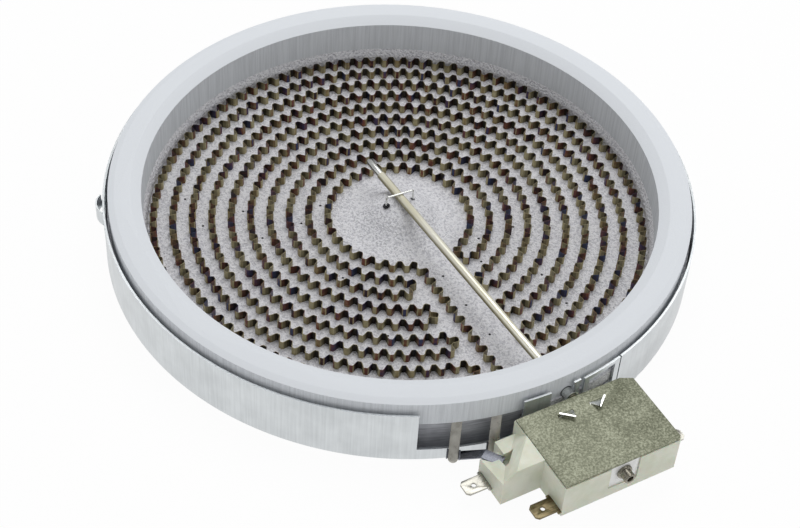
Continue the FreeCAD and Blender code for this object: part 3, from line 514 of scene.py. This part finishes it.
@dataclass
class HeaterRibbon:
    """Corrugated foil on edge: two terminals joined by ten concentric rows."""

    first_row: float = 28.3
    pitch: float = 7.58
    rows: int = 10
    right_turn: float = 13.8
    left_turn: float = 17.6
    lead: float = -6.5
    lead_bend: float = 7.0
    start: Point = (-7.67, -93.91)
    far_azimuth: float = -107.1
    floor: float = 7.4
    height: float = 3.7
    thickness: float = 0.16
    wave: float = 5.5
    depth: float = 2.8
    flatness: float = 1.75
    softness: float = 0.35
    steps: int = 12
    faces_a_wave: float = 4.0
    seed: int = 7

    def arc(self, centre: Point, radius: float, first: float, last: float) -> list[Point]:
        """Points along an arc, in millimetres, from one angle in degrees to another."""
        count = max(4, int(radius * math.radians(abs(last - first))))
        angles = [math.radians(first + (last - first) * i / count) for i in range(count + 1)]
        return [(centre[0] + radius * math.cos(a), centre[1] + radius * math.sin(a)) for a in angles]

    def middle_line(self) -> list[Point]:
        """Middle line of the whole ribbon, in millimetres."""
        hub_x = self.lead - self.lead_bend
        points = [self.start, (self.lead, self.start[1] + self.lead - self.start[0])]
        hub = (hub_x, -math.sqrt((self.first_row + self.lead_bend) ** 2 - hub_x ** 2))
        turn = math.degrees(math.atan2(hub[1], hub[0]))
        points += self.arc(hub, self.lead_bend, 0, turn + 180)
        angle = turn + 360
        for row in range(self.rows):
            radius = self.first_row + row * self.pitch
            half = self.pitch / 2
            if row % 2 == 0:
                end = math.degrees(math.asin(self.right_turn / (radius + half))) - 90
                turned = (end + 180, end + 360)
            else:
                end = 270 - math.degrees(math.asin(self.left_turn / (radius + half)))
                turned = (end + 180, end)
            last = row == self.rows - 1
            if last:
                end = 360 + self.far_azimuth
            points += self.arc((0, 0), radius, angle, end)
            if not last:
                at = math.radians(end)
                middle = radius + half
                points += self.arc((middle * math.cos(at), middle * math.sin(at)), half, *turned)
            angle = end
        return points

    def tree(self) -> bpy.types.NodeTree:
        """Geometry Nodes tree that folds foil to and fro along a curve."""
        tree = bpy.data.node_groups.new("folded foil", "GeometryNodeTree")
        face = tree.interface
        face.new_socket("Geometry", in_out="INPUT", socket_type="NodeSocketGeometry")
        for name in ("Wave", "Swing", "Height", "Thickness", "Flatness", "Step"):
            face.new_socket(name, in_out="INPUT", socket_type="NodeSocketFloat")
        face.new_socket("Seed", in_out="INPUT", socket_type="NodeSocketInt")
        face.new_socket("Finish", in_out="INPUT", socket_type="NodeSocketMaterial")
        face.new_socket("Geometry", in_out="OUTPUT", socket_type="NodeSocketGeometry")
        given = add_node(tree, "NodeGroupInput").outputs
        even = add_node(tree, "GeometryNodeResampleCurve", {"mode": "LENGTH"},
                        {"Curve": given["Geometry"], "Length": given["Step"]})
        upright = add_node(tree, "GeometryNodeSetCurveNormal", {"mode": "Z_UP"}, {0: even.outputs[0]})
        run = add_node(tree, "GeometryNodeSplineParameter").outputs["Length"]
        phase = add_node(tree, MATH, {"operation": "DIVIDE"}, {0: run, 1: given["Wave"]}).outputs[0]
        turned = add_node(tree, MATH, {"operation": "MULTIPLY"}, {0: phase, 1: 2 * math.pi}).outputs[0]
        sine = add_node(tree, MATH, {"operation": "SINE"}, {0: turned}).outputs[0]
        steep = add_node(tree, MATH, {"operation": "MULTIPLY"}, {0: sine, 1: given["Flatness"]}).outputs[0]
        top = add_node(tree, MATH, {"operation": "SMOOTH_MIN"},
                       {0: steep, 1: 1.0, 2: self.softness}).outputs[0]
        flat = add_node(tree, MATH, {"operation": "SMOOTH_MAX"},
                        {0: top, 1: -1.0, 2: self.softness}).outputs[0]
        swing = add_node(tree, MATH, {"operation": "MULTIPLY"}, {0: flat, 1: given["Swing"]}).outputs[0]
        side = add_node(tree, "GeometryNodeInputNormal").outputs[0]
        offset = add_node(tree, VECTOR_MATH, {"operation": "SCALE"}, {0: side, "Scale": swing}).outputs[0]
        fold = add_node(tree, MATH, {"operation": "MULTIPLY_ADD"},
                        {0: phase, 1: self.faces_a_wave, 2: 0.5}).outputs[0]
        number = add_node(tree, MATH, {"operation": "FLOOR"}, {0: fold}).outputs[0]
        picked = add_node(tree, "FunctionNodeRandomValue", {"data_type": "FLOAT"},
                          {"ID": number, "Seed": given["Seed"]}).outputs["Value"]
        store = "GeometryNodeStoreNamedAttribute"
        stored = add_node(tree, store, {"data_type": "FLOAT", "domain": "POINT"},
                          {"Geometry": upright.outputs[0], "Name": "tint", "Value": picked})
        leaning = add_node(tree, VECTOR_MATH, {"operation": "SCALE"}, {0: side, "Scale": flat}).outputs[0]
        leant = add_node(tree, store, {"data_type": "FLOAT_VECTOR", "domain": "POINT"},
                         {"Geometry": stored.outputs[0], "Name": "lean", "Value": leaning})
        folded = add_node(tree, "GeometryNodeSetPosition",
                          inputs={"Geometry": leant.outputs[0], "Offset": offset})
        section = add_node(tree, "GeometryNodeCurvePrimitiveQuadrilateral",
                           inputs={"Width": given["Thickness"], "Height": given["Height"]})
        foil = add_node(tree, "GeometryNodeCurveToMesh",
                        inputs={"Curve": folded.outputs[0], "Profile Curve": section.outputs[0],
                                "Fill Caps": True})
        # bulge: how far each face leans out of its fold; the foil's finish turns the inward faces into
        # painted shade
        lean = add_node(tree, "GeometryNodeInputNamedAttribute", {"data_type": "FLOAT_VECTOR"},
                        {"Name": "lean"})
        facing = add_node(tree, "GeometryNodeInputNormal").outputs[0]
        bulge = add_node(tree, VECTOR_MATH, {"operation": "DOT_PRODUCT"}, {0: lean.outputs[0], 1: facing})
        faced = add_node(tree, store, {"data_type": "FLOAT", "domain": "FACE"},
                         {"Geometry": foil.outputs[0], "Name": "bulge", "Value": bulge.outputs["Value"]})
        real = add_node(tree, "GeometryNodeRealizeInstances", inputs={0: faced.outputs[0]})
        done = add_node(tree, "GeometryNodeSetMaterial",
                        inputs={"Geometry": real.outputs[0], "Material": given["Finish"]})
        add_node(tree, "NodeGroupOutput", inputs={"Geometry": done.outputs[0]})
        return tree

    def build(self) -> bpy.types.Object:
        """Builds the ribbon as one piece in place of the plain folded solid."""
        curve = bpy.data.curves.new("ribbon_path", "CURVE")
        curve.dimensions = "3D"
        points = self.middle_line()
        spline = curve.splines.new("POLY")
        spline.points.add(len(points) - 1)
        z = (self.floor + self.height / 2) * MM
        for point, (x, y) in zip(spline.points, points):
            point.co = (x * MM, y * MM, z, 1.0)
        source = bpy.data.objects.new("ribbon_path", curve)
        bpy.context.scene.collection.objects.link(source)
        modifier = source.modifiers.new("folds", "NODES")
        tree = self.tree()
        modifier.node_group = tree
        values = {"Wave": self.wave * MM, "Swing": (self.depth - self.thickness) / 2 * MM,
                  "Height": self.height * MM, "Thickness": self.thickness * MM, "Flatness": self.flatness,
                  "Step": self.wave / self.steps * MM, "Seed": self.seed, "Finish": FOIL_FINISH.material()}
        for item in tree.interface.items_tree:
            if item.in_out == "INPUT" and item.name in values:
                modifier[item.identifier] = values[item.name]
        mesh = baked(source, "heating_ribbon")
        smooth_below(mesh, 50)
        return put("heating_ribbon_folds", mesh, FOIL_FINISH, ["heating_ribbon"])


@dataclass
class Holes:
    """Round holes in the board: small ones from the press tool's pins, two round the staple's legs."""

    pins: tuple[Point, ...] = (
        (-71.2, 47.2), (-71.1, 30.2), (-53.5, 30.9), (-53.1, 14.0), (-54.4, 64.9), (-24.5, 20.6),
        (-35.8, 14.8), (-52.3, -2.7), (-34.8, -18.9), (0.2, -35.0), (0.5, -52.1), (0.9, -68.9), (23.1, -23.2),
        (-33.6, -52.8), (38.8, -23.5), (17.5, -34.6), (34.5, -34.6), (35.0, -51.1), (35.5, -68.1))
    pin_radius: float = 0.42
    legs: tuple[Point, ...] = ((-5.99, 0.3), (5.49, -0.3))
    leg_radius: float = 1.2
    sides: int = 14
    cast_from: float = 50.0
    section: tuple[Point, ...] = ((1.2, 0.0), (1.08, 0.05), (0.9, 0.02))

    def build(self, board: bpy.types.Object) -> bpy.types.Object:
        """Builds all the holes as one piece: a low rim round a disc of painted shade, laid on the board."""
        form = bmesh.new()
        form.from_mesh(board.data)
        surface = BVHTree.FromBMesh(form)
        form.clear()
        places = [(*at, self.pin_radius) for at in self.pins] + [(*at, self.leg_radius) for at in self.legs]
        for x, y, radius in places:
            beside = Vector((x + self.section[0][0] * radius, y, self.cast_from)) * MM
            point, normal = surface.ray_cast(beside, Vector((0, 0, -1)))[:2]
            point.x = x * MM
            turn = normal.to_track_quat("Z", "Y")
            angles = [2 * math.pi * i / self.sides for i in range(self.sides)]
            rings = []
            for share, lift in self.section:
                reach = share * radius
                corners = [Vector((reach * math.cos(a), reach * math.sin(a), lift)) for a in angles]
                rings.append([form.verts.new(point + turn @ corner * MM) for corner in corners])
            for low, high in zip(rings, rings[1:]):
                for i in range(self.sides):
                    form.faces.new((low[i], low[(i + 1) % self.sides], high[(i + 1) % self.sides], high[i]))
            form.faces.new(rings[-1])
        mesh = bpy.data.meshes.new("holes")
        form.to_mesh(mesh)
        form.free()
        return put("board_holes", mesh, HOLE_FINISH)


@dataclass
class Heater:
    """The tray and all that lies in it."""

    dressed: tuple[Dressed, ...] = (
        TonguedTray("tray", TRAY_FINISH, 0.0, 28.0),
        Dressed("insulation_base", BOARD_FINISH, 0.3, 45.0),
        Dressed("insulating_ring", RING_FINISH, 0.35, 15.0),
        Dressed("recess_shield", SHIELD_FINISH, 0.0),
        Dressed("terminal_left", STRIP_FINISH, 0.12),
        Dressed("terminal_right", STRIP_FINISH, 0.12),
        Dressed("link_strap_left", STRAP_FINISH, 0.1),
        Dressed("link_strap_right", STRAP_FINISH, 0.1),
    )
    ribbon: HeaterRibbon = field(default_factory=HeaterRibbon)
    holes: Holes = field(default_factory=Holes)

    def build(self, nodes: dict[str, bpy.types.Object]) -> None:
        """Builds every piece of the heater."""
        for piece in self.dressed:
            piece.build(nodes)
        self.ribbon.build()
        self.holes.build(nodes["insulation_base"])


@dataclass
class SensorRod:
    """Rod across the dish with its bright end, holder and staple."""

    dressed: tuple[Dressed, ...] = (
        Dressed("rod_tube", TUBE_FINISH, 0.1, 40.0),
        Dressed("rod_core", TURNED_FINISH, 0.0, 40.0),
        Dressed("rod_end_cap", TURNED_FINISH, 0.12, 40.0),
        Dressed("rod_neck", TURNED_FINISH, 0.12, 25.0),
        Dressed("rod_staple", TURNED_FINISH, 0.0, 60.0),
    )

    def build(self, nodes: dict[str, bpy.types.Object]) -> None:
        """Builds every piece of the rod."""
        for piece in self.dressed:
            piece.build(nodes)


@dataclass
class Limiter:
    """Ceramic switch body with its cover, bracket, blades and inner parts."""

    dressed: tuple[Dressed, ...] = (
        Dressed("limiter_body", STEATITE, 0.3, 25.0, 3),
        Dressed("cover_plate", COVER_FINISH, 0.12, 30.0),
        Dressed("mounting_bracket", TURNED_FINISH, 0.1, 30.0),
        Dressed("tab_left", BLADE_FINISH, 0.12, 30.0),
        Dressed("tab_front", WARM_BLADE_FINISH, 0.12, 30.0),
        Dressed("tab_signal", BLADE_FINISH, 0.12, 30.0),
        Dressed("front_plate", PLATE_FINISH, 0.08, 30.0),
        Dressed("adjusting_bush", BUSH_FINISH, 0.15, 40.0),
        Dressed("load_spring", SPRING_FINISH, 0.05, 30.0),
        Dressed("load_post", SPRING_FINISH, 0.1, 30.0),
        Dressed("signal_spring", SPRING_FINISH, 0.05, 30.0),
        Dressed("contact_rivets", CONTACT_FINISH, 0.08, 40.0),
        Dressed("push_pin", STEATITE, 0.08, 40.0),
    )

    def build(self, nodes: dict[str, bpy.types.Object]) -> None:
        """Builds every piece of the limiter."""
        for piece in self.dressed:
            piece.build(nodes)


@dataclass
class Lamp:
    """Soft square lamp that looks at the dish."""

    name: str
    place: tuple[float, float, float]
    size: float
    power: float

    def build(self) -> None:
        """Adds the lamp to the scene."""
        light = bpy.data.lights.new(self.name, "AREA")
        light.shape = "SQUARE"
        light.size = self.size
        light.energy = self.power
        lamp = bpy.data.objects.new(self.name, light)
        lamp.location = self.place
        lamp.rotation_euler = (-Vector(self.place)).to_track_quat("-Z", "Y").to_euler()
        bpy.context.scene.collection.objects.link(lamp)


@dataclass
class Studio:
    """White floor, soft lamps and the photograph's camera."""

    floor_size: float = 6.0
    floor_glow: float = 0.96
    world_level: float = 0.46
    eye: tuple[float, float, float] = (-253.2, -414.9, 475.0)
    ahead: tuple[float, float, float] = (0.3679, 0.5982, -0.7119)
    right: tuple[float, float, float] = (0.8759, -0.4800, 0.0493)
    lens: float = 76.5
    lamps: tuple[Lamp, ...] = (
        Lamp("overhead", (0.35, 0.4, 1.25), 1.0, 8.6),
        Lamp("left", (-1.1, 0.3, 0.7), 0.8, 0.8),
        Lamp("front", (0.7, -1.1, 0.6), 0.8, 2.2),
    )

    def floor(self) -> None:
        """White sweep that stays white to the eye and keeps a faint shadow."""
        mesh = bpy.data.meshes.new("studio_floor")
        half = self.floor_size / 2
        corners = [(-half, -half, 0), (half, -half, 0), (half, half, 0), (-half, half, 0)]
        mesh.from_pydata(corners, [], [(0, 1, 2, 3)])
        material = bpy.data.materials.new("white studio paper")
        material.use_nodes = True
        tree = material.node_tree
        tree.nodes.clear()
        paper = add_node(tree, "ShaderNodeBsdfDiffuse", inputs={"Color": linear("F2F2F2")})
        glow = add_node(tree, "ShaderNodeEmission", inputs={"Color": linear("FFFFFF"), "Strength": 1.0})
        path = add_node(tree, "ShaderNodeLightPath")
        seen = add_node(tree, MATH, {"operation": "MAXIMUM"},
                        {0: path.outputs["Is Camera Ray"], 1: path.outputs["Is Glossy Ray"]})
        share = add_node(tree, MATH, {"operation": "MULTIPLY"}, {0: seen.outputs[0], 1: self.floor_glow})
        mixed = add_node(tree, "ShaderNodeMixShader",
                         inputs={0: share.outputs[0], 1: paper.outputs[0], 2: glow.outputs[0]})
        add_node(tree, "ShaderNodeOutputMaterial", inputs={"Surface": mixed.outputs[0]})
        mesh.materials.append(material)
        sheet = bpy.data.objects.new("studio_floor", mesh)
        bpy.context.scene.collection.objects.link(sheet)

    def world(self) -> None:
        """Even pale light from all round, white where the camera sees it."""
        world = bpy.data.worlds.new("studio")
        bpy.context.scene.world = world
        world.use_nodes = True
        tree = world.node_tree
        tree.nodes.clear()
        path = add_node(tree, "ShaderNodeLightPath")
        seen = add_node(tree, MATH, {"operation": "MAXIMUM"},
                        {0: path.outputs["Is Camera Ray"], 1: path.outputs["Is Transmission Ray"]})
        level = add_node(tree, "ShaderNodeMapRange", inputs={0: seen.outputs[0], 3: self.world_level, 4: 1.0})
        light = add_node(tree, "ShaderNodeBackground",
                         inputs={"Color": linear("FFFFFF"), "Strength": level.outputs[0]})
        add_node(tree, "ShaderNodeOutputWorld", inputs={"Surface": light.outputs[0]})

    def camera(self) -> None:
        """Camera at the photograph's place and angle."""
        data = bpy.data.cameras.new("photo_view")
        data.lens = self.lens
        data.sensor_width = 36.0
        data.sensor_fit = "HORIZONTAL"
        data.clip_end = 20.0
        view = bpy.data.objects.new("photo_view", data)
        back = -Vector(self.ahead).normalized()
        right = Vector(self.right).normalized()
        up = back.cross(right)
        turn = Matrix((right, up, back)).transposed().to_4x4()
        view.matrix_world = Matrix.Translation(Vector(self.eye) * MM) @ turn
        bpy.context.scene.collection.objects.link(view)
        bpy.context.scene.camera = view

    def build(self) -> None:
        """Builds the floor, the light and the camera."""
        self.floor()
        self.world()
        self.camera()
        for lamp in self.lamps:
            lamp.build()
        bpy.context.scene.view_settings.view_transform = "Standard"


def main() -> None:
    """Loads the frame, dresses it and sets the studio round it."""
    logging.basicConfig(level=logging.INFO, format="%(name)s: %(message)s")
    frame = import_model()
    for assembly in (Heater(), SensorRod(), Limiter()):
        assembly.build(frame["nodes"])
    Studio().build()


if __name__ == "__main__":
    main()
